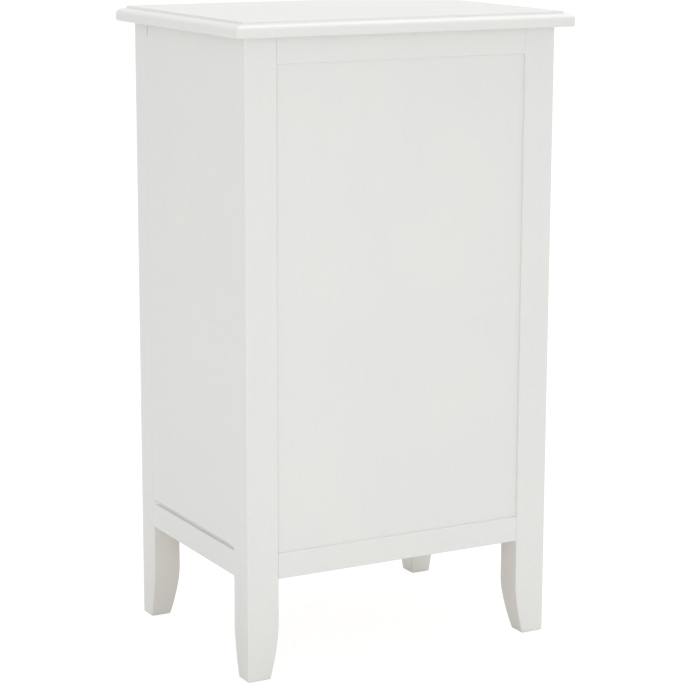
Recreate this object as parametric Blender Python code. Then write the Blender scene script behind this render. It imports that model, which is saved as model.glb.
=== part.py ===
"""Small apothecary cabinet on tapered legs: a post-and-rail frame with panels, and four drawers.

Metres, +Z up. The drawers face -Y, the finished back faces +Y, and the feet stand on z = 0.
Left and right are those of someone who stands at the drawers and looks along +Y.
"""

from math import acos, cos, pi, sin

import bmesh
import bpy
from mathutils import Matrix

# Whole cabinet, over the posts and under the overhanging top
HEIGHT = 0.762
BODY_WIDTH = 0.406
BODY_DEPTH = 0.300
GAP = 0.0003  # left between pieces that touch

# Top, with a moulded edge round a raised field
TOP_OVERHANG_X = 0.0175
TOP_OVERHANG_Y = 0.018
TOP_THICKNESS = 0.018
TOP_CORNER_RADIUS = 0.003
FIELD_INSET = 0.0105
FIELD_STEP = 0.003
FIELD_EDGE = 0.0006
NOSE_RISE = 0.0065
NOSE_RUN = 0.0085
NOSE_STEPS = 5
LOWER_ROUND = 0.003
LOWER_STEPS = 3

# Corner posts, which run down into the tapered legs
POST_X = 0.040
FRONT_POST_X = 0.035
POST_Y = 0.036
POST_EDGE = 0.0015
TAPER_HEIGHT = 0.064
TAPER_DEPTH = 0.0105
FRONT_TAPER_X = 0.0085
TAPER_POWER = 1.6
TAPER_STEPS = 6
FOOT_CHAMFER = 0.002

# Rails and panels
LEG_CLEAR = 0.120
RAIL_HEIGHT = 0.0305
RAIL_THICKNESS = 0.018
RAIL_SETBACK = 0.0006
FRONT_TOP_RAIL_HEIGHT = 0.020
SIDE_THICKNESS = 0.012
SIDE_REVEAL = 0.0042
SIDE_REVEAL_DEPTH = 0.003
BACK_PANEL_THICKNESS = 0.009
BACK_PANEL_RECESS = 0.003
BOTTOM_BOARD_THICKNESS = 0.006
BOARD_EDGE = 0.0008

# Drawer openings and what carries the drawers
DRAWER_COUNT = 4
DIVIDER_HEIGHT = 0.016
RUNNER_LEDGE = 0.013
RUNNER_GUIDE_HEIGHT = 0.014
CLEAT_WIDTH = 0.018

# Drawers
FRONT_CLEARANCE = 0.0015
FRONT_THICKNESS = 0.018
FRONT_RECESS = 0.003
FRONT_EDGE = 0.0012
SPLIT_WIDTH = 0.003
SPLIT_DEPTH = 0.004
BOX_BOARD = 0.010
BOX_HEIGHT = 0.112
BOX_LENGTH = 0.262
GROOVE_HEIGHT = 0.0056
GROOVE_DEPTH = 0.004
GROOVE_RISE = 0.008

# Knobs, each with its machine screw through the drawer front
KNOB_RADIUS = 0.012
KNOB_LENGTH = 0.0207
KNOB_HEAD_DEPTH = 0.0055  # half the thickness of its rounded head
KNOB_NECK_RADIUS = 0.005
KNOB_BASE_RADIUS = 0.0085
KNOB_BASE_THICKNESS = 0.002
KNOB_SEGMENTS = 16
KNOB_HEAD_STEPS = 6
SCREW_RADIUS = 0.0021
SCREW_HOLE_RADIUS = 0.0025
SCREW_HEAD_RADIUS = 0.004
SCREW_HEAD_THICKNESS = 0.002
HOLE_SEGMENTS = 12
CUTTER_OVERSHOOT = 0.01

HALF_WIDTH = BODY_WIDTH / 2
HALF_DEPTH = BODY_DEPTH / 2
INNER_X = HALF_WIDTH - POST_X
FRONT_INNER_X = HALF_WIDTH - FRONT_POST_X
INNER_Y = HALF_DEPTH - POST_Y
TOP_UNDERSIDE = HEIGHT - TOP_THICKNESS
FRAME_TOP = TOP_UNDERSIDE - GAP
RAIL_TOP = LEG_CLEAR + RAIL_HEIGHT
RAIL_OUTER_X = HALF_WIDTH - RAIL_SETBACK
RAIL_OUTER_Y = HALF_DEPTH - RAIL_SETBACK
SIDE_INNER = RAIL_OUTER_X - SIDE_THICKNESS
OPENINGS_TOP = TOP_UNDERSIDE - FRONT_TOP_RAIL_HEIGHT
OPENING_PITCH = (OPENINGS_TOP - RAIL_TOP + DIVIDER_HEIGHT) / DRAWER_COUNT
OPENING_HEIGHT = OPENING_PITCH - DIVIDER_HEIGHT
FRONT_WIDTH = 2 * (FRONT_INNER_X - FRONT_CLEARANCE)
BOX_WIDTH = 2 * (INNER_X - FRONT_CLEARANCE)
FRONT_FACE_Y = -HALF_DEPTH + FRONT_RECESS


def surface(name, colour, roughness, metallic=0.0):
    """A Principled material."""
    made = bpy.data.materials.new(name)
    made.use_nodes = True
    shader = made.node_tree.nodes["Principled BSDF"]
    shader.inputs["Base Color"].default_value = (*colour, 1.0)
    shader.inputs["Roughness"].default_value = roughness
    shader.inputs["Metallic"].default_value = metallic
    return made


def place(name, mesh, look, location=(0, 0, 0), parent=None):
    """One named object, on its parent where it has one."""
    piece = bpy.data.objects.new(name, mesh)
    bpy.context.collection.objects.link(piece)
    piece.data.materials.append(look)
    piece.location = location
    piece.parent = parent
    return piece


def loft(name, rings):
    """A closed mesh through rings of equal length, each listed anticlockwise from above, from low to high."""
    shape = bmesh.new()
    loops = [[shape.verts.new(point) for point in ring] for ring in rings]
    shape.faces.new(loops[0][::-1])
    shape.faces.new(loops[-1])
    count = len(loops[0])
    for lower, upper in zip(loops, loops[1:]):
        for i in range(count):
            j = (i + 1) % count
            shape.faces.new((lower[i], lower[j], upper[j], upper[i]))
    mesh = bpy.data.meshes.new(name)
    shape.to_mesh(mesh)
    shape.free()
    return mesh


def box_mesh(name, size):
    """A box about its own centre."""
    x, y, z = (side / 2 for side in size)
    outline = ((-x, -y), (x, -y), (x, y), (-x, y))
    return loft(name, [[(*point, level) for point in outline] for level in (-z, z)])


def ease_edges(piece, width, segments=2):
    """Rounds the sharp edges a little, as sanding and paint do."""
    bevel = piece.modifiers.new("eased_edges", "BEVEL")
    bevel.width = width
    bevel.segments = segments
    bevel.limit_method = "ANGLE"


def board(name, low, high, look, parent=None, edge=0.0):
    """A straight board between two opposite corners, with its origin at its centre."""
    size = [b - a for a, b in zip(low, high)]
    centre = [(a + b) / 2 for a, b in zip(low, high)]
    piece = place(name, box_mesh(name, size), look, centre, parent)
    if edge:
        ease_edges(piece, edge)
    return piece


def prism(name, outline, axis, low, high, look, location=(0, 0, 0), parent=None):
    """An outline across an axis, swept along it. Y takes an outline of (x, z), and Z one of (x, y)."""
    if axis == "Y":
        rings = [[(x, y, z) for x, z in outline] for y in (high, low)]
    else:
        rings = [[(x, y, z) for x, y in outline] for z in (low, high)]
    return place(name, loft(name, rings), look, location, parent)


def mirrored(outline):
    """The same outline on the other side, still anticlockwise."""
    return [(-x, other) for x, other in reversed(outline)]


def ring_with_corners(half_x, half_y, radius, level, steps=3):
    """A rectangle with rounded corners, as one ring of a loft."""
    points = []
    for corner, (side_x, side_y) in enumerate(((1, 1), (-1, 1), (-1, -1), (1, -1))):
        for step in range(steps + 1):
            angle = (corner + step / steps) * pi / 2
            x = side_x * (half_x - radius) + radius * cos(angle)
            y = side_y * (half_y - radius) + radius * sin(angle)
            points.append((x, y, level))
    return points


def top_edge_profile():
    """How far in from its widest line the top's edge lies, with its height over the underside, going up."""
    shoulder = TOP_THICKNESS - FIELD_STEP
    profile = []
    for step in range(LOWER_STEPS + 1):
        angle = step / LOWER_STEPS * pi / 2
        level = LOWER_ROUND * (1 - cos(angle))
        profile.append((LOWER_ROUND * (1 - sin(angle)) / 2, level))
    for step in range(NOSE_STEPS + 1):
        angle = step / NOSE_STEPS * pi / 2
        inset = NOSE_RUN * (1 - cos(angle))
        profile.append((inset, shoulder - NOSE_RISE * (1 - sin(angle))))
    profile.append((FIELD_INSET - FIELD_EDGE, shoulder))
    profile.append((FIELD_INSET, TOP_THICKNESS - FIELD_EDGE))
    profile.append((FIELD_INSET + FIELD_EDGE, TOP_THICKNESS))
    return profile


def top_panel(paint):
    """The overhanging top: nosing, step and raised field."""
    half_x = HALF_WIDTH + TOP_OVERHANG_X
    half_y = HALF_DEPTH + TOP_OVERHANG_Y
    rings = []
    for inset, level in top_edge_profile():
        radius = TOP_CORNER_RADIUS * (1 - inset / (2 * FIELD_INSET))
        rings.append(ring_with_corners(half_x - inset, half_y - inset, radius, level))
    place("top_panel", loft("top_panel", rings), paint, (0, 0, TOP_UNDERSIDE))


def post_ring(width, taper_x, taper_y, shrink, level):
    """A post's section, with its outer corner at the origin: tapering moves only the two inner faces."""
    x_low = taper_x + shrink - width
    y_low = taper_y + shrink - POST_Y
    high = -shrink
    edge = POST_EDGE
    outline = (
        (x_low + edge, y_low),
        (high - edge, y_low),
        (high, y_low + edge),
        (high, high - edge),
        (high - edge, high),
        (x_low + edge, high),
        (x_low, high - edge),
        (x_low, y_low + edge),
    )
    return [(x, y, level) for x, y in outline]


def post_mesh(width, taper_x):
    """The post of the +X +Y corner, with its leg tapered on the two inner faces."""
    rings = [post_ring(width, taper_x, TAPER_DEPTH, FOOT_CHAMFER, 0.0)]
    for step in range(TAPER_STEPS + 1):
        level = FOOT_CHAMFER + (TAPER_HEIGHT - FOOT_CHAMFER) * step / TAPER_STEPS
        share = (1 - step / TAPER_STEPS) ** TAPER_POWER
        rings.append(post_ring(width, taper_x * share, TAPER_DEPTH * share, 0.0, level))
    rings.append(post_ring(width, 0.0, 0.0, 0.0, FRAME_TOP))
    return loft("corner_post", rings)


def corner_posts(paint):
    """Four posts, mirrored into each corner; the front pair is the slimmer one."""
    front = ("front", -1, FRONT_POST_X, FRONT_TAPER_X)
    back = ("back", 1, POST_X, TAPER_DEPTH)
    for depth_name, side_y, width, taper_x in (front, back):
        for side_name, side_x in (("left", -1), ("right", 1)):
            mesh = post_mesh(width, taper_x)
            mesh.transform(Matrix.Diagonal((side_x, side_y, 1, 1)))
            if side_x * side_y < 0:
                mesh.flip_normals()
            corner = (side_x * HALF_WIDTH, side_y * HALF_DEPTH, 0)
            place(f"corner_post_{depth_name}_{side_name}", mesh, paint, corner)


def side_boards(paint):
    """Each side's rail, and the panel over it, whose thinner foot leaves a shallow reveal between them."""
    reach = INNER_Y - GAP
    foot_face = RAIL_OUTER_X - SIDE_REVEAL_DEPTH
    outline = (
        (SIDE_INNER, RAIL_TOP + GAP),
        (foot_face, RAIL_TOP + GAP),
        (foot_face, RAIL_TOP + SIDE_REVEAL),
        (RAIL_OUTER_X, RAIL_TOP + SIDE_REVEAL),
        (RAIL_OUTER_X, FRAME_TOP),
        (SIDE_INNER, FRAME_TOP),
    )
    prism("side_panel_right", outline, "Y", -reach, reach, paint)
    prism("side_panel_left", mirrored(outline), "Y", -reach, reach, paint)
    for side_name, side in (("left", -1), ("right", 1)):
        faces = sorted((side * RAIL_OUTER_X, side * SIDE_INNER))
        low = (faces[0], -reach, LEG_CLEAR)
        board(f"side_rail_{side_name}", low, (faces[1], reach, RAIL_TOP), paint, edge=BOARD_EDGE)


def back_boards(paint):
    """The finished back: two rails and the panel between them, set in a little."""
    reach = INNER_X - GAP
    top_rail_bottom = FRAME_TOP - RAIL_HEIGHT
    for name, bottom, top in (
        ("back_top_rail", top_rail_bottom, FRAME_TOP),
        ("back_bottom_rail", LEG_CLEAR, RAIL_TOP),
    ):
        low = (-reach, RAIL_OUTER_Y - RAIL_THICKNESS, bottom)
        board(name, low, (reach, RAIL_OUTER_Y, top), paint, edge=BOARD_EDGE)
    panel_face = HALF_DEPTH - BACK_PANEL_RECESS
    low = (-reach, panel_face - BACK_PANEL_THICKNESS, RAIL_TOP + GAP)
    board("back_panel", low, (reach, panel_face, top_rail_bottom - GAP), paint, edge=BOARD_EDGE)


def front_rails(paint):
    """The rails over and under the drawers, and the dividers between them."""
    reach = FRONT_INNER_X - GAP
    low_rail_back = -RAIL_OUTER_Y + RAIL_THICKNESS
    low = (-reach, -RAIL_OUTER_Y, LEG_CLEAR)
    board("front_bottom_rail", low, (reach, low_rail_back, RAIL_TOP), paint, edge=BOARD_EDGE)
    low = (-reach, -RAIL_OUTER_Y, OPENINGS_TOP)
    board("front_top_rail", low, (reach, -INNER_Y, FRAME_TOP), paint, edge=BOARD_EDGE)
    for row in range(1, DRAWER_COUNT):
        top = RAIL_TOP + row * OPENING_PITCH
        low = (-reach, -RAIL_OUTER_Y, top - DIVIDER_HEIGHT)
        board(f"drawer_divider_{row}", low, (reach, -INNER_Y, top), paint, edge=BOARD_EDGE)


def bottom_board(wood):
    """The thin floor inside the rails, notched round the four posts."""
    out_x = SIDE_INNER - GAP
    out_y = RAIL_OUTER_Y - RAIL_THICKNESS - GAP
    in_x = INNER_X - GAP
    front_x = FRONT_INNER_X - GAP
    in_y = INNER_Y - GAP
    back = ((out_x, in_y), (in_x, in_y), (in_x, out_y))
    front = ((front_x, -out_y), (front_x, -in_y), (out_x, -in_y))
    outline = list(back)
    outline += mirrored(back)
    outline += mirrored(front)
    outline += list(front)
    low = LEG_CLEAR + BOTTOM_BOARD_THICKNESS
    prism("bottom_board", outline, "Z", low, low + BOTTOM_BOARD_THICKNESS, wood)


def runners(wood):
    """Two runners for each drawer: a ledge that carries it, and a guide that keeps it straight."""
    reach = INNER_Y - GAP
    outer = SIDE_INNER - GAP
    outline = (
        (INNER_X - RUNNER_LEDGE, -DIVIDER_HEIGHT),
        (outer, -DIVIDER_HEIGHT),
        (outer, RUNNER_GUIDE_HEIGHT),
        (INNER_X, RUNNER_GUIDE_HEIGHT),
        (INNER_X, 0),
        (INNER_X - RUNNER_LEDGE, 0),
    )
    for row in range(DRAWER_COUNT):
        at = (0, 0, RAIL_TOP + row * OPENING_PITCH)
        name = f"drawer_runner_{row + 1}"
        prism(f"{name}_right", outline, "Y", -reach, reach, wood, at)
        prism(f"{name}_left", mirrored(outline), "Y", -reach, reach, wood, at)


def top_cleats(wood):
    """The strips that the top is screwed down to, inside each side panel."""
    reach = INNER_Y - GAP
    outer = SIDE_INNER - GAP
    for side_name, side in (("left", -1), ("right", 1)):
        faces = sorted((side * outer, side * (outer - CLEAT_WIDTH)))
        low = (faces[0], -reach, OPENINGS_TOP)
        board(f"top_cleat_{side_name}", low, (faces[1], reach, FRAME_TOP), wood)


def cut(piece, name, low, high):
    """Takes a box out of a piece. The box is given in the frame of the piece's parent."""
    cutter = board(name, low, high, piece.data.materials[0], piece.parent)
    hide_cutter(piece, cutter)


def hide_cutter(piece, cutter):
    """Makes an object a cutter of a piece."""
    cutter.hide_render = True
    cutter.display_type = "WIRE"
    boolean = piece.modifiers.new(cutter.name, "BOOLEAN")
    boolean.operation = "DIFFERENCE"
    boolean.object = cutter


def bore(piece, name, x, z):
    """A screw hole through a drawer front."""
    shape = bmesh.new()
    bmesh.ops.create_cone(
        shape,
        cap_ends=True,
        segments=HOLE_SEGMENTS,
        radius1=SCREW_HOLE_RADIUS,
        radius2=SCREW_HOLE_RADIUS,
        depth=FRONT_THICKNESS + 2 * CUTTER_OVERSHOOT,
        matrix=Matrix.Rotation(pi / 2, 4, "X"),
    )
    mesh = bpy.data.meshes.new(name)
    shape.to_mesh(mesh)
    shape.free()
    look = piece.data.materials[0]
    hide_cutter(piece, place(name, mesh, look, (x, FRONT_THICKNESS / 2, z), piece.parent))


def knob_profile():
    """The knob's outline as (radius, distance out from the drawer front), up to the tip of its head."""
    inside = -FRONT_THICKNESS - GAP
    profile = [
        (SCREW_HEAD_RADIUS, inside - SCREW_HEAD_THICKNESS),
        (SCREW_HEAD_RADIUS, inside),
        (SCREW_RADIUS, inside),
        (SCREW_RADIUS, GAP),
        (KNOB_BASE_RADIUS, GAP),
        (KNOB_BASE_RADIUS, KNOB_BASE_THICKNESS),
        (KNOB_NECK_RADIUS, 2 * KNOB_BASE_THICKNESS),
    ]
    centre = KNOB_LENGTH - KNOB_HEAD_DEPTH
    start = -acos(KNOB_NECK_RADIUS / KNOB_RADIUS)
    for step in range(KNOB_HEAD_STEPS):
        angle = start + (pi / 2 - start) * step / KNOB_HEAD_STEPS
        profile.append((KNOB_RADIUS * cos(angle), centre + KNOB_HEAD_DEPTH * sin(angle)))
    return profile


def knob_mesh():
    """A turned knob with its screw, along -Y, as one closed body."""
    shape = bmesh.new()
    loops = []
    for radius, out in knob_profile():
        ring = []
        for step in range(KNOB_SEGMENTS):
            angle = 2 * pi * step / KNOB_SEGMENTS
            ring.append(shape.verts.new((radius * cos(angle), -out, radius * sin(angle))))
        loops.append(ring)
    shape.faces.new(loops[0][::-1])
    for near, far in zip(loops, loops[1:]):
        for i in range(KNOB_SEGMENTS):
            j = (i + 1) % KNOB_SEGMENTS
            shape.faces.new((near[i], near[j], far[j], far[i]))
    tip = shape.verts.new((0, -KNOB_LENGTH, 0))
    for i in range(KNOB_SEGMENTS):
        shape.faces.new((loops[-1][i], loops[-1][(i + 1) % KNOB_SEGMENTS], tip))
    mesh = bpy.data.meshes.new("knob")
    shape.to_mesh(mesh)
    shape.free()
    mesh.shade_smooth()
    mesh.set_sharp_from_angle(angle=pi / 5)
    return mesh


def drawer_front(number, paint, slide):
    """A drawer front that a groove divides into two, bored for two knobs, with a groove for the floor."""
    name = f"drawer_{number}_front"
    half = FRONT_WIDTH / 2
    top = OPENING_HEIGHT - FRONT_CLEARANCE
    low = (-half, 0, FRONT_CLEARANCE)
    front = board(name, low, (half, FRONT_THICKNESS, top), paint, slide, FRONT_EDGE)
    low = (-SPLIT_WIDTH / 2, -CUTTER_OVERSHOOT, -CUTTER_OVERSHOOT)
    high = (SPLIT_WIDTH / 2, SPLIT_DEPTH, top + CUTTER_OVERSHOOT)
    cut(front, f"cutter_split_{number}", low, high)
    side_inner = BOX_WIDTH / 2 - BOX_BOARD
    low = (-side_inner - GROOVE_DEPTH, FRONT_THICKNESS - GROOVE_DEPTH, GROOVE_RISE - GAP)
    high = (-low[0], FRONT_THICKNESS + CUTTER_OVERSHOOT, low[2] + GROOVE_HEIGHT)
    cut(front, f"cutter_floor_groove_{number}", low, high)
    for side in (-1, 1):
        bore(front, f"cutter_bore_{number}_{side}", side * half / 2, OPENING_HEIGHT / 2)


def drawer_sides(number, wood, slide):
    """The two sides of a drawer's box, each with the groove that holds its floor."""
    outer = BOX_WIDTH / 2
    inner = outer - BOX_BOARD
    groove = inner + GROOVE_DEPTH
    low = GROOVE_RISE - GAP
    outline = (
        (inner, GAP),
        (outer, GAP),
        (outer, BOX_HEIGHT),
        (inner, BOX_HEIGHT),
        (inner, low + GROOVE_HEIGHT),
        (groove, low + GROOVE_HEIGHT),
        (groove, low),
        (inner, low),
    )
    start = FRONT_THICKNESS + GAP
    end = start + BOX_LENGTH
    name = f"drawer_{number}_side"
    prism(f"{name}_right", outline, "Y", start, end, wood, parent=slide)
    prism(f"{name}_left", mirrored(outline), "Y", start, end, wood, parent=slide)


def drawer_back_and_bottom(number, wood, slide):
    """The box's back, which stands on its floor, and the floor, held in the grooves."""
    inner = BOX_WIDTH / 2 - BOX_BOARD - GAP
    start = FRONT_THICKNESS - GROOVE_DEPTH + GAP
    end = FRONT_THICKNESS + GAP + BOX_LENGTH
    floor_top = GROOVE_RISE + GROOVE_HEIGHT - 2 * GAP
    reach = inner + GROOVE_DEPTH
    board(
        f"drawer_{number}_bottom",
        (-reach, start, GROOVE_RISE),
        (reach, end, floor_top),
        wood,
        slide,
    )
    low = (-inner, end - BOX_BOARD, floor_top + GAP)
    board(f"drawer_{number}_back", low, (inner, end, BOX_HEIGHT), wood, slide)


def drawer(number, paint, wood, metal):
    """One drawer, all of it on an empty that lies on its line of travel."""
    slide = bpy.data.objects.new(f"drawer_{number}_slide", None)
    bpy.context.collection.objects.link(slide)
    slide.location = (0, FRONT_FACE_Y, RAIL_TOP + (number - 1) * OPENING_PITCH)
    drawer_front(number, paint, slide)
    drawer_sides(number, wood, slide)
    drawer_back_and_bottom(number, wood, slide)
    for side_name, side in (("left", -1), ("right", 1)):
        at = (side * FRONT_WIDTH / 4, 0, OPENING_HEIGHT / 2)
        place(f"drawer_{number}_knob_{side_name}", knob_mesh(), metal, at, slide)


def main():
    for old in list(bpy.data.objects):
        bpy.data.objects.remove(old)
    paint = surface("white_paint", (0.86, 0.86, 0.84), 0.45)
    wood = surface("drawer_wood", (0.72, 0.56, 0.38), 0.6)
    metal = surface("knob_brass", (0.48, 0.36, 0.20), 0.35, 1.0)
    top_panel(paint)
    corner_posts(paint)
    side_boards(paint)
    back_boards(paint)
    front_rails(paint)
    bottom_board(wood)
    runners(wood)
    top_cleats(wood)
    for number in range(1, DRAWER_COUNT + 1):
        drawer(number, paint, wood, metal)


main()
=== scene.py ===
"""Looks of the small apothecary cabinet: painted frame, wooden drawer boxes, brass knobs.

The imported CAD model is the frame. Painted boards, the top, the posts and the knobs are remade with
fine rounded edges in the places of their CAD nodes; the bare wooden pieces keep their CAD shapes.
"""

from math import acos, cos, pi, radians, sin

import bmesh
import bpy
from mathutils import Matrix, Vector


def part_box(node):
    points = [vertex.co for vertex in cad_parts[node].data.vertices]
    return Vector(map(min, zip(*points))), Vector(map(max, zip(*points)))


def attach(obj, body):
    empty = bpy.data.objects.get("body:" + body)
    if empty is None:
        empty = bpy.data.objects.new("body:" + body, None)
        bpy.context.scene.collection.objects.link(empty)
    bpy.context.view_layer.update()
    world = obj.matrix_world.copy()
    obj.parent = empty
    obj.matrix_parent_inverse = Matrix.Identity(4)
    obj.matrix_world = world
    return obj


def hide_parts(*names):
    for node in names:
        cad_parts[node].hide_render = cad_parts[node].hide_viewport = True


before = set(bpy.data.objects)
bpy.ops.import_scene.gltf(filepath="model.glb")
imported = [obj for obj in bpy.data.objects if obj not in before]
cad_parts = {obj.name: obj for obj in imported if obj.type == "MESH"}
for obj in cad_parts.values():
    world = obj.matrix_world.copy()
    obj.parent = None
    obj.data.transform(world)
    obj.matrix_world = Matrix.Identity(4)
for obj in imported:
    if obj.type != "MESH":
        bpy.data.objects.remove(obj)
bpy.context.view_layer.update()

BODY = "cabinet"
DRAWER_COUNT = 4

# Edges of the painted boards, in metres
BOARD_ROUND = 0.0009
END_ROUND = 0.0005
RAIL_END_ROUND = 0.0003
TIGHT_ROUND = 0.0001
ROUND_STEPS = 3
SHARP_ANGLE = radians(50)

# Eased edges of the bare wooden pieces
EASED_WOOD = 0.0006
EASED_DRAWER_SIDE = 0.0012
EASED_DRAWER_BACK = 0.0010
EASED_PLY = 0.0003
EASED_FLOOR = 0.0004

# The top's moulded edge
TOP_CORNER_RADIUS = 0.003
TOP_CORNER_STEPS = 6
FIELD_INSET = 0.0105
FIELD_STEP = 0.003
FIELD_ROUND = 0.0007
COVE_RUN = 0.0012
COVE_RISE = 0.0002
NOSE_RISE = 0.0065
NOSE_RUN = 0.0085
NOSE_STEPS = 12
LOWER_ROUND = 0.003
LOWER_STEPS = 6

# The posts and their tapered legs
RAIL_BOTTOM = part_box("back_bottom_rail")[0].z
TAPER_HEIGHT = 0.064
TAPER_DEPTH = 0.0105
FRONT_TAPER_X = 0.0085
TAPER_POWER = 1.6
TAPER_STEPS = 20
LEG_BLEND = 0.006
FOOT_ROUND = 0.002
CORNER_STEPS = 4
OUTER_EDGE = 0.0017
INNER_EDGE = 0.0012
LEG_INSIDE_EDGE = 0.0020
RAIL_JOINT_EDGE = 0.0015
PANEL_JOINT_EDGE = 0.0001

# Paint closes the joints: boards reach this far into their neighbours, and those at the sides
# lie nearly flush
JOINT_FILL = 0.00035
FLUSH = 0.00045

# The reveal under each side panel
REVEAL_FADE = 0.012
REVEAL_COLUMNS = 60
REVEAL_HEIGHT = 0.0058
REVEAL_DEPTH = 0.0040
REVEAL_LIP = 0.0012
REVEAL_END_SHARE = 0.12

# The joint between one side panel and the front post has opened just under the top
OPENED_WIDTH = 0.0020
OPENED_DEPTH = 0.0013
OPENED_TOP = 0.0030
OPENED_BOTTOM = 0.0155
OPENED_WALL = 0.0002
OPENED_SLOPE = 0.0003

# Drawer fronts: a groove between two fields, each raised a little inside a plain border
SPLIT_WIDTH = 0.003
SPLIT_DEPTH = 0.004
WEB_OVERLAP = 0.0004
WEB_TUCK = 0.0003
FIELD_BORDER = 0.011
FIELD_DROP = 0.0016
FIELD_EDGE = 0.0010
BORDER_COVE_RUN = 0.0016
BORDER_COVE_END = 0.0005
BORDER_COVE_RISE = 0.0003
FRONT_ROUND = 0.0012

# Knobs
KNOB_SEGMENTS = 48
KNOB_RADIUS = 0.012
KNOB_HEAD_DEPTH = 0.0055
KNOB_NECK_RADIUS = 0.0048
KNOB_BASE_RADIUS = 0.0085
KNOB_BASE_THICKNESS = 0.002
SCREW_HEAD_RADIUS = 0.004
SCREW_RADIUS = 0.0021
SCREW_GAP = 0.0003

# Colours of the paint: two even tones, brush lines, lower legs, worn edges, painted shade in the
# corners
PAINT_COOL = (0.750, 0.760, 0.740, 1)
PAINT_WARM = (0.768, 0.766, 0.740, 1)
PAINT_STREAK = (0.776, 0.780, 0.760, 1)
PAINT_FOOT = (0.740, 0.725, 0.700, 1)
PAINT_WORN = (0.70, 0.655, 0.57, 1)
PAINT_CORNER_SHADE = (0.50, 0.47, 0.42, 1)

# The studio: even surroundings, brighter at the horizon; for each lamp its name, position, size,
# power and colour
WORLD_STRENGTH = 0.768
HORIZON_STRENGTH = 1.0
HORIZON_LOW = 0.06
HORIZON_HIGH = 0.30
LIGHTS = (
    ("left_low", (1.75, 2.58, 0.9), 1.6, 16.6, (1.0, 1.0, 1.0)),
    ("right_top", (-1.9, 0.0, 5.4), 3.0, 106.0, (0.96, 0.96, 0.99)),
    ("front_fill", (0.6, -3.4, 2.0), 2.4, 8.0, (1.0, 1.0, 1.0)),
)
LIGHT_TARGET = Vector((0, 0, 0.4))
FLOOR_REACH = 30.0
FLOOR_LEVEL = -0.0003
FLOOR_GLOW = 0.93

# The camera: distances in metres, lens and sensor in millimetres
CAMERA_AZIMUTH = radians(151.379)
CAMERA_ELEVATION = radians(11.921)
CAMERA_ROLL = radians(0.161)
CAMERA_DISTANCE = 2.8206
CAMERA_TARGET = Vector((-0.0037, 0.0027, 0.3531))
CAMERA_LENS = 120.21
SENSOR_WIDTH = 36.0


# ---------------------------------------------------------------- materials

class Shader:
    """A node tree that grows by short calls."""

    def __init__(self, name):
        self.material = bpy.data.materials.new(name)
        self.material.use_nodes = True
        self.tree = self.material.node_tree
        self.surface = self.tree.nodes["Principled BSDF"]

    def add(self, kind, inputs=None, **settings):
        node = self.tree.nodes.new(kind)
        for key, value in settings.items():
            setattr(node, key, value)
        for key, value in (inputs or {}).items():
            self.feed(node.inputs[key], value)
        return node

    def feed(self, socket, value):
        if isinstance(value, bpy.types.NodeSocket):
            self.tree.links.new(value, socket)
        else:
            socket.default_value = value

    def stretched(self, scale):
        """Object coordinates, stretched along the three axes."""
        place = self.add("ShaderNodeTexCoord")
        inputs = {"Vector": place.outputs["Object"], "Scale": scale}
        return self.add("ShaderNodeMapping", inputs).outputs["Vector"]

    def noise(self, scale, detail=3.0, roughness=0.5, distortion=0.0):
        """Noise over object coordinates, from 0 to 1. The scale is cells per metre on each axis."""
        inputs = {
            "Vector": self.stretched(scale),
            "Scale": 1.0,
            "Detail": detail,
            "Roughness": roughness,
            "Distortion": distortion,
        }
        return self.add("ShaderNodeTexNoise", inputs).outputs["Fac"]

    def span(self, value, low, high, to_low, to_high):
        """A value brought from one range to another, and kept in it."""
        inputs = {
            "Value": value,
            "From Min": low,
            "From Max": high,
            "To Min": to_low,
            "To Max": to_high,
        }
        return self.add("ShaderNodeMapRange", inputs).outputs["Result"]

    def maths(self, operation, first, second):
        node = self.add("ShaderNodeMath", operation=operation)
        self.feed(node.inputs[0], first)
        self.feed(node.inputs[1], second)
        return node.outputs["Value"]

    def blend(self, factor, first, second):
        node = self.add("ShaderNodeMix", data_type="RGBA")
        self.feed(node.inputs["Factor"], factor)
        self.feed(node.inputs["A"], first)
        self.feed(node.inputs["B"], second)
        return node.outputs["Result"]

    def edges(self, radius):
        """How strongly a point lies on a worn edge: the rounded normal against the true one."""
        rounded = self.add("ShaderNodeBevel", {"Radius": radius}, samples=6)
        flat = self.add("ShaderNodeNewGeometry")
        product = self.add("ShaderNodeVectorMath", operation="DOT_PRODUCT")
        self.feed(product.inputs[0], rounded.outputs["Normal"])
        self.feed(product.inputs[1], flat.outputs["True Normal"])
        return self.span(product.outputs["Value"], 0.995, 0.90, 0.0, 1.0)

    def bumps(self, *layers):
        """Layers of (height, strength, distance), one on the other, into the surface's normal."""
        normal = None
        for height, strength, distance in layers:
            inputs = {"Height": height, "Strength": strength, "Distance": distance}
            if normal is not None:
                inputs["Normal"] = normal
            normal = self.add("ShaderNodeBump", inputs).outputs["Normal"]
        self.feed(self.surface.inputs["Normal"], normal)

    def set(self, **values):
        for key, value in values.items():
            self.feed(self.surface.inputs[key.replace("_", " ").title()], value)


def along(axis, lengthwise, across):
    """A scale with one value along the grain's axis, and another across it."""
    return [lengthwise if name == axis else across for name in "XYZ"]


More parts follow.
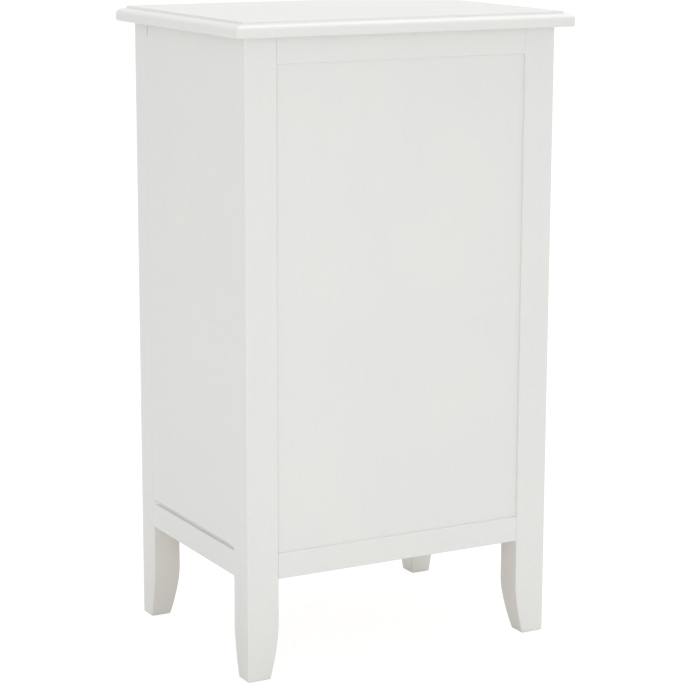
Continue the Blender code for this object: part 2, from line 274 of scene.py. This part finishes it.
def paint(axis):
    """Off-white satin paint over wood: brush lines and grain run along the board."""
    look = Shader(f"white_paint_{axis.lower()}")
    cloud = look.noise((7, 7, 7), 3.0, 0.55)
    brush = look.noise(along(axis, 4, 260), 4.0, 0.6)
    grain = look.noise(along(axis, 9, 420), 6.0, 0.62, 0.6)
    peel = look.noise((1100, 1100, 1100), 2.0, 0.45)
    warm = look.span(cloud, 0.3, 0.7, 0.0, 1.0)
    base = look.blend(warm, PAINT_COOL, PAINT_WARM)
    streak = look.span(brush, 0.35, 0.65, 0.0, 0.35)
    base = look.blend(streak, base, PAINT_STREAK)
    place = look.add("ShaderNodeTexCoord")
    height = look.add("ShaderNodeSeparateXYZ", {"Vector": place.outputs["Object"]}).outputs["Z"]
    # The paint turns darker and warmer towards the floor, below 14 cm
    base = look.blend(look.span(height, 0.14, 0.03, 0.0, 0.3), base, PAINT_FOOT)
    broken = look.span(look.noise((160, 160, 160), 4.0, 0.7), 0.42, 0.62, 0.0, 1.0)
    worn = look.maths("MULTIPLY", look.edges(0.0012), broken)
    worn = look.maths("MULTIPLY", worn, 0.16)
    base = look.blend(worn, base, PAINT_WORN)
    # Painted shade: the paint turns darker and warmer in corners and creases, as far as they are
    # occluded
    hollow = look.add("ShaderNodeAmbientOcclusion", {"Distance": 0.006}, samples=6)
    corner_shade = look.span(hollow.outputs["AO"], 0.6, 0.1, 0.0, 0.12)
    base = look.blend(corner_shade, base, PAINT_CORNER_SHADE)
    brushed = look.span(brush, 0.3, 0.7, 0.40, 0.47)
    clouded = look.span(cloud, 0.3, 0.7, -0.02, 0.03)
    look.set(base_color=base, roughness=look.maths("ADD", brushed, clouded))
    look.surface.inputs["Coat Weight"].default_value = 0.10
    look.surface.inputs["Coat Roughness"].default_value = 0.30
    look.bumps((grain, 0.10, 0.0003), (brush, 0.10, 0.0002), (peel, 0.12, 0.00012))
    return look.material


def bare_wood(axis, tone=1.0):
    """Clear, unpainted light wood with growth rings, pores and a thin seal coat."""
    look = Shader(f"bare_wood_{axis.lower()}_{round(tone * 100)}")
    wander = look.noise(along(axis, 2.2, 26), 3.0, 0.55, 1.2)
    rings = look.add(
        "ShaderNodeTexWave",
        {
            "Vector": look.stretched(along(axis, 3.0, 70)),
            "Scale": 1.0,
            "Distortion": 7.0,
            "Detail": 3.0,
            "Detail Scale": 0.6,
            "Detail Roughness": 0.6,
        },
        wave_type="BANDS",
        bands_direction="DIAGONAL",
        wave_profile="SAW",
    ).outputs["Fac"]
    pores = look.noise(along(axis, 60, 2600), 3.0, 0.7)
    light = tuple(c * tone for c in (0.66, 0.49, 0.315)) + (1,)
    middle = tuple(c * tone for c in (0.56, 0.39, 0.235)) + (1,)
    dark = tuple(c * tone for c in (0.42, 0.27, 0.15)) + (1,)
    base = look.blend(look.span(rings, 0.2, 0.95, 0.0, 0.75), light, middle)
    base = look.blend(look.span(wander, 0.45, 0.75, 0.0, 0.55), base, dark)
    fleck = look.span(pores, 0.60, 0.72, 0.0, 0.5)
    base = look.blend(fleck, base, dark)
    ringed = look.span(rings, 0.0, 1.0, 0.48, 0.56)
    pored = look.span(pores, 0.5, 0.7, 0.0, 0.08)
    look.set(base_color=base, roughness=look.maths("ADD", ringed, pored))
    look.bumps((rings, 0.08, 0.0003), (pores, 0.20, 0.0002))
    return look.material


def plywood():
    """Thin birch ply with a pale face grain."""
    look = Shader("ply_floor")
    grain = look.noise(along("X", 3, 160), 5.0, 0.6, 0.8)
    fine = look.noise(along("X", 40, 1800), 2.0, 0.6)
    shade = look.span(grain, 0.35, 0.68, 0.0, 1.0)
    base = look.blend(shade, (0.72, 0.58, 0.40, 1), (0.60, 0.45, 0.29, 1))
    base = look.blend(look.span(fine, 0.58, 0.75, 0.0, 0.35), base, (0.45, 0.31, 0.19, 1))
    look.set(base_color=base, roughness=look.span(grain, 0.3, 0.7, 0.50, 0.60))
    look.bumps((grain, 0.06, 0.0002), (fine, 0.12, 0.0001))
    return look.material


def aged_brass():
    """Satin brass that has darkened in its hollows and been rubbed bright on its rims."""
    look = Shader("aged_brass")
    patina = look.noise((140, 140, 140), 5.0, 0.65)
    fine = look.noise((1500, 1500, 1500), 3.0, 0.6)
    hollow = look.add("ShaderNodeAmbientOcclusion", {"Distance": 0.004}, samples=6)
    aged = look.span(patina, 0.35, 0.7, 0.0, 1.0)
    base = look.blend(aged, (0.50, 0.355, 0.165, 1), (0.30, 0.20, 0.095, 1))
    darkened = look.span(hollow.outputs["AO"], 0.8, 0.25, 0.0, 0.85)
    base = look.blend(darkened, base, (0.10, 0.07, 0.04, 1))
    rubbed = look.maths("MULTIPLY", look.edges(0.001), look.span(patina, 0.3, 0.6, 0.4, 1.0))
    base = look.blend(look.maths("MULTIPLY", rubbed, 0.7), base, (0.78, 0.62, 0.36, 1))
    dulled = look.span(patina, 0.3, 0.7, 0.16, 0.34)
    scuffed = look.span(fine, 0.4, 0.6, 0.0, 0.05)
    look.set(base_color=base, roughness=look.maths("ADD", dulled, scuffed))
    look.surface.inputs["Metallic"].default_value = 1.0
    look.bumps((patina, 0.05, 0.0004), (fine, 0.06, 0.0001))
    return look.material


def studio_floor():
    """Plain pale floor, matt, with the faintest mottle; the camera sees it overexposed to white."""
    look = Shader("studio_floor")
    mottle = look.noise((3, 3, 3), 3.0, 0.5)
    seen = look.add("ShaderNodeLightPath").outputs["Is Camera Ray"]
    pale = look.blend(mottle, (0.83, 0.83, 0.825, 1), (0.87, 0.87, 0.865, 1))
    base = look.blend(seen, pale, (0.12, 0.12, 0.119, 1))
    look.set(base_color=base, roughness=look.span(mottle, 0.3, 0.7, 0.85, 0.95))
    look.surface.inputs["Specular IOR Level"].default_value = 0.1
    look.surface.inputs["Emission Color"].default_value = (1, 1, 1, 1)
    glow = look.maths("MULTIPLY", seen, FLOOR_GLOW)
    look.feed(look.surface.inputs["Emission Strength"], glow)
    return look.material


PAINT = {axis: paint(axis) for axis in "XYZ"}
WOOD = {axis: bare_wood(axis) for axis in "XY"}
WOOD_DEEP = bare_wood("Y", 0.82)
WOOD_UNDER = bare_wood("X", 1.02)
PLY = plywood()
BRASS = aged_brass()


# ---------------------------------------------------------------- mesh tools

def piece_from(shape, name, node, look, body=BODY):
    """A piece from a bmesh, which stands for a CAD node and rides on its body."""
    bmesh.ops.recalc_face_normals(shape, faces=shape.faces)
    mesh = bpy.data.meshes.new(name)
    shape.to_mesh(mesh)
    shape.free()
    mesh.shade_smooth()
    mesh.set_sharp_from_angle(angle=SHARP_ANGLE)
    mesh.materials.append(look)
    piece = bpy.data.objects.new(name, mesh)
    bpy.context.scene.collection.objects.link(piece)
    even = piece.modifiers.new("even_shading", "WEIGHTED_NORMAL")
    even.keep_sharp = True
    even.weight = 80
    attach(piece, body)
    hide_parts(node)


def loft(rings):
    """A closed bmesh through rings of equal length, capped at both ends."""
    shape = bmesh.new()
    loops = [[shape.verts.new(point) for point in ring] for ring in rings]
    shape.faces.new(loops[0][::-1])
    shape.faces.new(loops[-1])
    count = len(loops[0])
    for lower, upper in zip(loops, loops[1:]):
        for i in range(count):
            j = (i + 1) % count
            shape.faces.new((lower[i], lower[j], upper[j], upper[i]))
    return shape


def bevel(shape, edges, width):
    """Rounds some edges of a shape."""
    bmesh.ops.bevel(
        shape, geom=edges, offset=width, segments=ROUND_STEPS, profile=0.5, affect="EDGES"
    )


def box_shape(low, high):
    """A box from one corner to the other."""
    shape = bmesh.new()
    size = [b - a for a, b in zip(low, high)]
    centre = Vector([(a + b) / 2 for a, b in zip(low, high)])
    place = Matrix.Translation(centre) @ Matrix.Diagonal((*size, 1))
    bmesh.ops.create_cube(shape, size=1.0, matrix=place)
    return shape


def long_edges(shape, axis):
    """The edges that run along one axis."""
    n = "XYZ".index(axis)
    found = []
    for edge in shape.edges:
        start, end = (vertex.co for vertex in edge.verts)
        if abs((start - end).normalized()[n]) > 0.99:
            found.append(edge)
    return found


def end_edges(shape, axis):
    """The edges round both ends of a board that runs along one axis."""
    n = "XYZ".index(axis)
    values = [vertex.co[n] for vertex in shape.verts]
    ends = (min(values), max(values))
    found = []
    for edge in shape.edges:
        if any(all(abs(vertex.co[n] - end) < 1e-6 for vertex in edge.verts) for end in ends):
            found.append(edge)
    return found


def painted_board(node, axis, long_round=BOARD_ROUND, end_round=END_ROUND, fill="", proud=0.0):
    """A straight painted board in the place of its node, grain along an axis. It fills the joints
    along the axes named, and stands out sideways by proud."""
    low, high = (Vector(corner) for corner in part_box(node))
    for name in fill:
        n = "XYZ".index(name)
        low[n] -= JOINT_FILL
        high[n] += JOINT_FILL
    if high.x < 0:
        low.x -= proud
    else:
        high.x += proud
    shape = box_shape(low, high)
    bevel(shape, long_edges(shape, axis), long_round)
    bevel(shape, end_edges(shape, axis), end_round)
    piece_from(shape, f"{node}_painted", node, PAINT[axis])


# ---------------------------------------------------------------- the frame

def corner_ring(half_x, half_y, radius, level, steps):
    """A rectangle about the origin with rounded corners."""
    points = []
    for corner, (side_x, side_y) in enumerate(((1, 1), (-1, 1), (-1, -1), (1, -1))):
        for step in range(steps + 1):
            angle = (corner + step / steps) * pi / 2
            x = side_x * (half_x - radius) + radius * cos(angle)
            y = side_y * (half_y - radius) + radius * sin(angle)
            points.append((x, y, level))
    return points


def top_profile(underside, upper):
    """The top's edge as (inset, height), going up: lower round, nosing, riser, the field's rim."""
    profile = []
    for step in range(LOWER_STEPS + 1):
        angle = step / LOWER_STEPS * pi / 2
        inset = LOWER_ROUND * (1 - sin(angle)) / 2
        profile.append((inset, underside + LOWER_ROUND * (1 - cos(angle))))
    shoulder = upper - FIELD_STEP
    for step in range(NOSE_STEPS + 1):
        angle = step / NOSE_STEPS * pi / 2
        profile.append((NOSE_RUN * (1 - cos(angle)), shoulder - NOSE_RISE * (1 - sin(angle))))
    profile.append((FIELD_INSET - COVE_RUN, shoulder))
    profile.append((FIELD_INSET - COVE_RUN / 2, shoulder + COVE_RISE))
    for step in range(5):
        angle = step / 4 * pi / 2
        inset = FIELD_INSET - FIELD_ROUND * cos(angle) + FIELD_ROUND
        profile.append((inset, upper - FIELD_ROUND * (1 - sin(angle))))
    return profile


def top():
    """The top board with its moulded edge."""
    low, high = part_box("top_panel")
    half_x, half_y = high.x, high.y
    rings = []
    for inset, level in top_profile(low.z, high.z):
        radius = TOP_CORNER_RADIUS * (1 - inset / (2 * FIELD_INSET))
        ring = corner_ring(half_x - inset, half_y - inset, radius, level, TOP_CORNER_STEPS)
        rings.append(ring)
    piece_from(loft(rings), "top_moulded", "top_panel", PAINT["X"])


def post_section(low, high, side_x, side_y, share, shrink, radii, level):
    """A post's section at a height. The outer faces stay, the inner ones draw in by a share of the
    taper. The radii go round the post: inmost corner, by the side panel, outer, by the rail."""
    taper_x = TAPER_DEPTH if side_y > 0 else FRONT_TAPER_X
    x0 = min(abs(low.x), abs(high.x)) + taper_x * share + shrink
    y0 = min(abs(low.y), abs(high.y)) + TAPER_DEPTH * share + shrink
    x1 = max(abs(low.x), abs(high.x)) - shrink
    y1 = max(abs(low.y), abs(high.y)) - shrink
    corners = ((x0, y0, 2), (x1, y0, 3), (x1, y1, 0), (x0, y1, 1))
    points = []
    for (x, y, quarter), radius in zip(corners, radii):
        radius = max(radius - shrink * 0.4, 0.0001)
        centre_x = x + (radius if x == x0 else -radius)
        centre_y = y + (radius if y == y0 else -radius)
        for step in range(CORNER_STEPS + 1):
            angle = (quarter + step / CORNER_STEPS) * pi / 2
            points.append((centre_x + radius * cos(angle), centre_y + radius * sin(angle)))
    return [(side_x * x, side_y * y, level) for x, y in points]


def post(depth_name, side_name):
    """A corner post: rounded foot, tapered leg, and a straight part between rails and panels."""
    node = f"corner_post_{depth_name}_{side_name}"
    low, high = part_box(node)
    side_x = 1 if high.x > 0 else -1
    side_y = 1 if high.y > 0 else -1
    leg_radii = (LEG_INSIDE_EDGE, INNER_EDGE, OUTER_EDGE, INNER_EDGE)
    frame_radii = (INNER_EDGE, PANEL_JOINT_EDGE, OUTER_EDGE, RAIL_JOINT_EDGE)
    sections = []
    for step in range(4):
        angle = step / 4 * pi / 2
        level = FOOT_ROUND * (1 - cos(angle))
        shrink = FOOT_ROUND * (1 - sin(angle))
        sections.append((leg_taper(level), shrink, leg_radii, level))
    for step in range(TAPER_STEPS + 1):
        level = FOOT_ROUND + (TAPER_HEIGHT - FOOT_ROUND) * step / TAPER_STEPS
        sections.append((leg_taper(level), 0, leg_radii, level))
    sections.append((0, 0, leg_radii, RAIL_BOTTOM - LEG_BLEND))
    sections += [(0, 0, frame_radii, level) for level in (RAIL_BOTTOM, high.z)]
    rings = [post_section(low, high, side_x, side_y, *section) for section in sections]
    piece_from(loft(rings), f"{node}_painted", node, PAINT["Z"])


def leg_taper(level):
    """The share of the taper by which the leg's inner faces have drawn in at a height."""
    climbed = max(level - FOOT_ROUND, 0) / (TAPER_HEIGHT - FOOT_ROUND)
    return max(0.0, 1 - climbed) ** TAPER_POWER


def side_panel(side_name):
    """The flush side panel. The reveal along its foot is a groove that fades out near its ends."""
    node = f"side_panel_{side_name}"
    low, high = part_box(node)
    side = 1 if high.x > 0 else -1
    face = max(abs(low.x), abs(high.x)) + FLUSH
    back = min(abs(low.x), abs(high.x))
    start = low.y - JOINT_FILL
    end = high.y + JOINT_FILL
    rail_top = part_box(f"side_rail_{side_name}")[1].z
    columns = [start + (end - start) * n / REVEAL_COLUMNS for n in range(REVEAL_COLUMNS + 1)]
    columns[1:1] = [start + OPENED_WIDTH, start + OPENED_WIDTH + OPENED_WALL]
    opened = OPENED_DEPTH if side > 0 else 0
    rings = []
    for y in columns:
        near_end = min(y - start, end - y)
        t = min(1.0, near_end / REVEAL_FADE)
        fade = REVEAL_END_SHARE + (1 - REVEAL_END_SHARE) * t * t * (3 - 2 * t)
        reveal_top = rail_top + REVEAL_HEIGHT * (0.55 + 0.45 * fade)
        foot = face - REVEAL_DEPTH * fade
        outline = [(back, low.z - JOINT_FILL), (foot, low.z - JOINT_FILL)]
        outline.append((foot, reveal_top - REVEAL_LIP))
        for step in range(ROUND_STEPS + 1):
            angle = step / ROUND_STEPS * pi / 2
            radius = min(REVEAL_LIP, REVEAL_DEPTH * fade)
            x = face - radius + radius * sin(angle)
            outline.append((x, reveal_top + radius * (1 - cos(angle)) - radius * 0.6))
        sunk = face - opened if y <= columns[1] else face
        outline.append((face, high.z - OPENED_BOTTOM))
        outline.append((sunk, high.z - OPENED_BOTTOM + OPENED_SLOPE))
        outline.append((sunk, high.z - OPENED_TOP - OPENED_SLOPE))
        outline.append((face, high.z - OPENED_TOP))
        outline += [(face, high.z), (back, high.z)]
        rings.append([(side * x, y, z) for x, z in outline])
    piece_from(loft(rings), f"{node}_painted", node, PAINT["Z"])


def carcass():
    """Every painted piece of the cabinet's frame."""
    top()
    for depth_name in ("front", "back"):
        for side_name in ("left", "right"):
            post(depth_name, side_name)
    for side_name in ("left", "right"):
        side_panel(side_name)
        painted_board(f"side_rail_{side_name}", "Y", INNER_EDGE, TIGHT_ROUND, "Y", FLUSH)
    for node in ("back_top_rail", "back_bottom_rail", "front_top_rail", "front_bottom_rail"):
        painted_board(node, "X", end_round=RAIL_END_ROUND, fill="X")
    for number in range(1, DRAWER_COUNT):
        painted_board(f"drawer_divider_{number}", "X", end_round=RAIL_END_ROUND, fill="X")
    painted_board("back_panel", "Z", TIGHT_ROUND, TIGHT_ROUND, "XZ")


# ---------------------------------------------------------------- the drawers

def drawer_front(number):
    """A drawer front that reads as two small ones: a groove between two raised fields."""
    node = f"drawer_{number}_front"
    low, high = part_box(node)
    middle = (low.x + high.x) / 2
    halves = ((low.x, middle - SPLIT_WIDTH / 2), (middle + SPLIT_WIDTH / 2, high.x))
    shape = bmesh.new()
    for x_low, x_high in halves:
        front_half(shape, x_low, x_high, low, high)
    reach = SPLIT_WIDTH / 2 + WEB_OVERLAP
    low_web = (middle - reach, low.y + SPLIT_DEPTH, low.z + WEB_TUCK)
    web = box_shape(low_web, (middle + reach, high.y - WEB_TUCK, high.z - WEB_TUCK))
    mesh = bpy.data.meshes.new("web")
    web.to_mesh(mesh)
    web.free()
    shape.from_mesh(mesh)
    bpy.data.meshes.remove(mesh)
    piece_from(shape, f"{node}_painted", node, PAINT["X"], f"drawer_{number}")


def front_half(shape, x_low, x_high, low, high):
    """Adds one half of a drawer front: body, rounded border, small cove and raised field."""
    def ring(inset, y):
        return [
            shape.verts.new(point)
            for point in (
                (x_low + inset, y, low.z + inset),
                (x_high - inset, y, low.z + inset),
                (x_high - inset, y, high.z - inset),
                (x_low + inset, y, high.z - inset),
            )
        ]

    border_y = low.y + FIELD_DROP
    path = [(0.0, high.y)]
    for step in range(5):
        angle = step / 4 * pi / 2
        path.append((FRONT_ROUND * (1 - cos(angle)), border_y + FRONT_ROUND * (1 - sin(angle))))
    path.append((FIELD_BORDER - BORDER_COVE_RUN, border_y))
    path.append((FIELD_BORDER - BORDER_COVE_END, border_y - BORDER_COVE_RISE))
    for step in range(4):
        angle = step / 3 * pi / 2
        inset = FIELD_BORDER + FIELD_EDGE * (1 - cos(angle))
        path.append((inset, low.y + FIELD_EDGE * (1 - sin(angle))))
    loops = [ring(*point) for point in path]
    shape.faces.new(loops[0])
    shape.faces.new(loops[-1][::-1])
    for lower, upper in zip(loops, loops[1:]):
        for i in range(4):
            j = (i + 1) % 4
            shape.faces.new((lower[i], lower[j], upper[j], upper[i]))


def turned(profile, segments):
    """A closed turned shape along -Y from (radius, distance out) points; radius 0 closes an end."""
    shape = bmesh.new()
    loops = []
    for radius, out in profile:
        if radius == 0:
            loops.append([shape.verts.new((0, -out, 0))])
            continue
        ring = []
        for step in range(segments):
            angle = 2 * pi * step / segments
            ring.append(shape.verts.new((radius * cos(angle), -out, radius * sin(angle))))
        loops.append(ring)
    for near, far in zip(loops, loops[1:]):
        for i in range(segments):
            j = (i + 1) % segments
            corners = [near[i % len(near)], near[j % len(near)]]
            corners += [far[j % len(far)], far[i % len(far)]]
            shape.faces.new(list(dict.fromkeys(corners)))
    return shape


def arc(centre_radius, centre_out, radius, start, end, steps):
    """Points of a round stretch of a turned profile, in degrees; 0 points away from the axis."""
    points = []
    for step in range(steps + 1):
        angle = radians(start + (end - start) * step / steps)
        points.append((centre_radius + radius * cos(angle), centre_out + radius * sin(angle)))
    return points


def knob_profile(front_thickness, length):
    """Screw end first: flat head, shank, base with a bead, waisted neck, and the rounded head."""
    gap = SCREW_GAP
    inside = -front_thickness - gap
    profile = [(0, inside - 0.002), (SCREW_HEAD_RADIUS - 0.0006, inside - 0.002)]
    profile += [(SCREW_HEAD_RADIUS, inside - 0.0014), (SCREW_HEAD_RADIUS, inside)]
    profile += [(SCREW_RADIUS, inside), (SCREW_RADIUS, gap), (KNOB_BASE_RADIUS - 0.0004, gap)]
    profile += arc(KNOB_BASE_RADIUS - 0.0007, gap + 0.0008, 0.0007, -60, 90, 6)
    profile += [(KNOB_BASE_RADIUS - 0.0014, KNOB_BASE_THICKNESS - 0.0005)]
    bead_out = KNOB_BASE_THICKNESS + 0.0002
    profile += arc(KNOB_BASE_RADIUS - 0.0022, bead_out, 0.0006, -50, 90, 5)
    neck_low = KNOB_BASE_THICKNESS + 0.0012
    centre = length - KNOB_HEAD_DEPTH
    start = acos(KNOB_NECK_RADIUS * 1.12 / KNOB_RADIUS)
    neck_high = centre - KNOB_HEAD_DEPTH * sin(start)
    for step in range(9):
        t = step / 8
        waist = 0.0009 * sin(pi * t)
        out = neck_low + (neck_high - neck_low) * t
        profile.append((KNOB_NECK_RADIUS * 1.12 - waist, out))
    for step in range(1, 25):
        angle = -start + (pi / 2 + start) * step / 24
        radius = KNOB_RADIUS * cos(angle)
        out = centre + KNOB_HEAD_DEPTH * sin(angle)
        ring_line = 0.00025 if abs(radius - 0.0078) < 0.0005 and angle > 0 else 0.0
        profile.append((max(radius, 0) if step < 24 else 0, out - ring_line))
    return profile


def knob(number, side_name):
    """A turned brass knob with its screw."""
    node = f"drawer_{number}_knob_{side_name}"
    low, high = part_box(node)
    front_low, front_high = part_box(f"drawer_{number}_front")
    profile = knob_profile(front_high.y - front_low.y, front_low.y - low.y)
    shape = turned(profile, KNOB_SEGMENTS)
    centre = Vector(((low.x + high.x) / 2, front_low.y, (low.z + high.z) / 2))
    bmesh.ops.translate(shape, verts=shape.verts, vec=centre)
    piece_from(shape, f"{node}_turned", node, BRASS, f"drawer_{number}")


def eased(node, look, width=EASED_WOOD):
    """A CAD node that keeps its shape, with its sharp edges eased."""
    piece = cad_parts[node]
    piece.data.materials.clear()
    piece.data.materials.append(look)
    bevelled = piece.modifiers.new("eased_edges", "BEVEL")
    bevelled.width = width
    bevelled.segments = 2
    bevelled.limit_method = "ANGLE"
    bevelled.harden_normals = True


def drawers():
    """The four drawers: painted fronts, knobs, and wooden boxes with a ply floor."""
    for number in range(1, DRAWER_COUNT + 1):
        drawer_front(number)
        for side_name in ("left", "right"):
            knob(number, side_name)
            eased(f"drawer_{number}_side_{side_name}", WOOD["Y"], EASED_DRAWER_SIDE)
        eased(f"drawer_{number}_back", WOOD["X"], EASED_DRAWER_BACK)
        eased(f"drawer_{number}_bottom", PLY, EASED_PLY)


def inner_woodwork():
    """The bare wood inside the cabinet."""
    for number in range(1, DRAWER_COUNT + 1):
        for side_name in ("left", "right"):
            eased(f"drawer_runner_{number}_{side_name}", WOOD_DEEP)
    for side_name in ("left", "right"):
        eased(f"top_cleat_{side_name}", WOOD_DEEP)
    eased("bottom_board", WOOD_UNDER, EASED_FLOOR)


# ---------------------------------------------------------------- studio

def camera():
    """The camera at the photograph's viewing angle."""
    data = bpy.data.cameras.new("camera")
    data.lens = CAMERA_LENS
    data.sensor_width = SENSOR_WIDTH
    flat = cos(CAMERA_ELEVATION)
    x, y = sin(CAMERA_AZIMUTH) * flat, -cos(CAMERA_AZIMUTH) * flat
    back = Vector((x, y, sin(CAMERA_ELEVATION)))
    eye = bpy.data.objects.new("camera", data)
    bpy.context.scene.collection.objects.link(eye)
    place = Matrix.Translation(CAMERA_TARGET + back * CAMERA_DISTANCE)
    aim = (-back).to_track_quat("-Z", "Y").to_matrix().to_4x4()
    eye.matrix_world = place @ aim @ Matrix.Rotation(CAMERA_ROLL, 4, "Z")
    bpy.context.scene.camera = eye


def soft_light(name, position, size, power, colour):
    """A square area lamp that the camera doesn't see; the low one doesn't show in gloss either."""
    data = bpy.data.lights.new(name, "AREA")
    data.shape = "RECTANGLE"
    data.size = size
    data.size_y = size
    data.energy = power
    data.color = colour
    lamp = bpy.data.objects.new(name, data)
    bpy.context.scene.collection.objects.link(lamp)
    lamp.location = position
    lamp.visible_camera = False
    lamp.visible_glossy = name != "left_low"
    aim = LIGHT_TARGET - Vector(position)
    lamp.rotation_euler = aim.to_track_quat("-Z", "Y").to_euler()


def studio():
    """The surroundings, the floor, the lamps and the view transform."""
    world = bpy.data.worlds.new("studio")
    bpy.context.scene.world = world
    world.use_nodes = True
    tree = world.node_tree
    background = tree.nodes["Background"]
    background.inputs["Strength"].default_value = 1.0
    direction = tree.nodes.new("ShaderNodeTexCoord")
    parts = tree.nodes.new("ShaderNodeSeparateXYZ")
    height = tree.nodes.new("ShaderNodeMapRange")
    height.inputs["From Min"].default_value = HORIZON_LOW
    height.inputs["From Max"].default_value = HORIZON_HIGH
    height.inputs["To Min"].default_value = HORIZON_STRENGTH
    height.inputs["To Max"].default_value = WORLD_STRENGTH
    tree.links.new(direction.outputs["Generated"], parts.inputs["Vector"])
    tree.links.new(parts.outputs["Z"], height.inputs["Value"])
    tree.links.new(height.outputs["Result"], background.inputs["Color"])
    shape = bmesh.new()
    bmesh.ops.create_grid(shape, x_segments=8, y_segments=8, size=FLOOR_REACH)
    mesh = bpy.data.meshes.new("floor")
    shape.to_mesh(mesh)
    shape.free()
    mesh.materials.append(studio_floor())
    floor = bpy.data.objects.new("floor", mesh)
    floor.location.z = FLOOR_LEVEL
    bpy.context.scene.collection.objects.link(floor)
    for name, position, size, power, colour in LIGHTS:
        soft_light(name, position, size, power, colour)
    bpy.context.scene.view_settings.view_transform = "Standard"


carcass()
drawers()
inner_woodwork()
studio()
camera()
